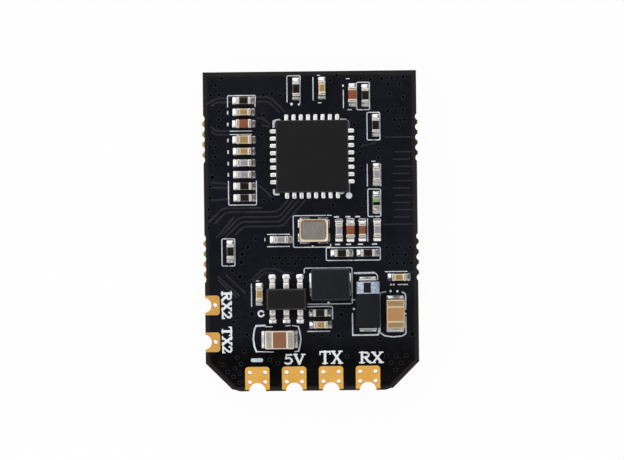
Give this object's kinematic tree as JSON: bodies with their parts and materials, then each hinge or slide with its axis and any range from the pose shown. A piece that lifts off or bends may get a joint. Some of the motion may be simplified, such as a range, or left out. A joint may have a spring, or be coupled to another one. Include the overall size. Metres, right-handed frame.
{
  "type": "radio-control receiver module",
  "caption": "Small black circuit board with gilded half-hole solder contacts, a microcontroller and its power parts on the front, and radio chips with antenna sockets on the back.",
  "frame": {"origin": "under the middle of the board, on the surface that the antenna sockets and reservoir capacitor stand on", "axes": "+Z out of the component side, +Y along the board towards the antenna sockets, +X to the right seen from the component side"},
  "size_m": [0.0148, 0.022, 0.0038],
  "materials": {
    "solder_mask": "satin black solder mask on glass-fibre laminate",
    "gilded_contact": "satin gold flash over copper",
    "solder": "bright reflowed solder",
    "mould_compound": "matte black moulded epoxy",
    "tinned_lead": "matte tin plating",
    "crystal_ceramic": "dark fired ceramic with a gilded seal ring",
    "crystal_metal": "satin nickel lid",
    "inductor_block": "pressed metal powder, dark slate",
    "tantalum_case": "matte moulded case",
    "led_resin": "clear green resin on a white carrier",
    "ceramic_tan": "fired tan ceramic with tinned ends",
    "ceramic_brown": "fired brown ceramic with tinned ends",
    "ceramic_lilac": "fired grey-lilac ceramic with tinned ends",
    "resistor_glaze": "black glaze with tinned ends",
    "socket_insulator": "cream moulded insulator"
  },
  "bodies": {
    "root": {"circuit_board": "solder_mask", "contact_ground": "gilded_contact", "contact_power": "gilded_contact", "contact_tx": "gilded_contact", "contact_rx": "gilded_contact", "contact_tx2": "gilded_contact", "contact_rx2": "gilded_contact", "solder_joints_front": "solder", "solder_joints_back": "solder", "microcontroller_body": "mould_compound", "microcontroller_leads": "tinned_lead", "crystal_case": "crystal_ceramic", "crystal_lid": "crystal_metal", "regulator_body": "mould_compound", "regulator_leads": "tinned_lead", "power_inductor": "inductor_block", "tantalum_capacitor": "tantalum_case", "status_led": "led_resin", "input_capacitor": "ceramic_brown", "output_capacitor": "ceramic_tan", "capacitor_1": "ceramic_tan", "capacitor_2": "ceramic_brown", "capacitor_3": "ceramic_tan", "capacitor_4": "ceramic_tan", "capacitor_5": "ceramic_lilac", "capacitor_6": "ceramic_lilac", "capacitor_7": "ceramic_tan", "capacitor_8": "ceramic_brown", "capacitor_9": "ceramic_lilac", "capacitor_10": "ceramic_lilac", "capacitor_11": "ceramic_brown", "capacitor_12": "ceramic_brown", "capacitor_13": "ceramic_lilac", "capacitor_14": "ceramic_lilac", "capacitor_15": "ceramic_tan", "capacitor_16": "ceramic_tan", "capacitor_17": "ceramic_tan", "resistor_1": "resistor_glaze", "resistor_2": "resistor_glaze", "resistor_3": "resistor_glaze", "resistor_4": "resistor_glaze", "resistor_5": "resistor_glaze", "resistor_6": "resistor_glaze", "resistor_7": "resistor_glaze", "resistor_8": "resistor_glaze", "resistor_9": "resistor_glaze", "resistor_10": "resistor_glaze", "transceiver_left": "mould_compound", "transceiver_right": "mould_compound", "transceiver_leads": "tinned_lead", "antenna_socket_left_base": "socket_insulator", "antenna_socket_left_shell": "gilded_contact", "antenna_socket_left_pin": "gilded_contact", "antenna_socket_right_base": "socket_insulator", "antenna_socket_right_shell": "gilded_contact", "antenna_socket_right_pin": "gilded_contact", "oscillator": "crystal_metal", "reservoir_capacitor": "ceramic_tan", "rear_capacitor_left": "ceramic_tan", "rear_capacitor_right": "ceramic_tan"}
  },
  "joints": []
}
